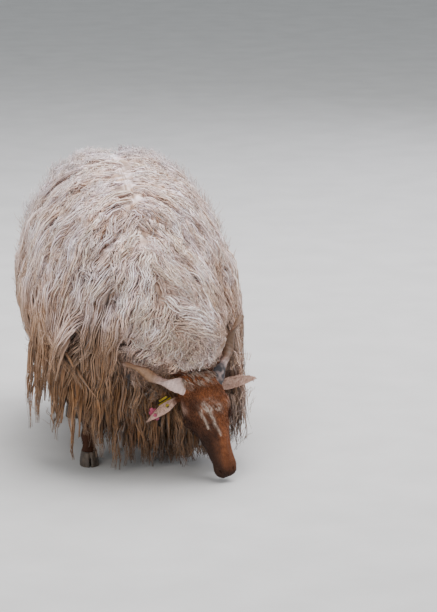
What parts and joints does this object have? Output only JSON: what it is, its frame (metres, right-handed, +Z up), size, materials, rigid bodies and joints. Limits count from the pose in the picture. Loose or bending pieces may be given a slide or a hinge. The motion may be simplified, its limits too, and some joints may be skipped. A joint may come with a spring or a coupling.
{
  "type": "racka sheep",
  "caption": "Life-size still model of a racka sheep that stands and grazes, with corkscrew horns, ear tags and a long hanging fleece of wavy locks.",
  "frame": {"origin": "middle of the bounding box, on the floor under the animal", "axes": "+Z is up and the animal faces -Y, so +X is its left side"},
  "size_m": [0.556, 0.9376, 0.6845],
  "materials": {
    "fleece": "soft wavy wool, cream with tan depths",
    "face": "short red-brown hair with a pale blaze",
    "leg": "short red-brown hair",
    "horn": "pale ringed horn, matt, stood in by plastic",
    "hoof": "dark matt horn, stood in by plastic",
    "ear": "short pale pinkish-beige hair",
    "eye": "wet amber eye, glossy",
    "yellow_tag": "yellow plastic, satin",
    "pink_tag": "pink plastic, satin"
  },
  "bodies": {
    "root": {"torso": "fleece", "neck": "fleece", "tail": "fleece", "head": "face", "eye_left": "eye", "eye_right": "eye", "ear_left": "ear", "ear_right": "ear", "horn_left": "horn", "horn_right": "horn", "tag_yellow": "yellow_tag", "tag_pink": "pink_tag", "leg_front_left": "leg", "hoof_front_left": "hoof", "leg_front_right": "leg", "hoof_front_right": "hoof", "leg_hind_left": "leg", "hoof_hind_left": "hoof", "leg_hind_right": "leg", "hoof_hind_right": "hoof"}
  },
  "joints": []
}
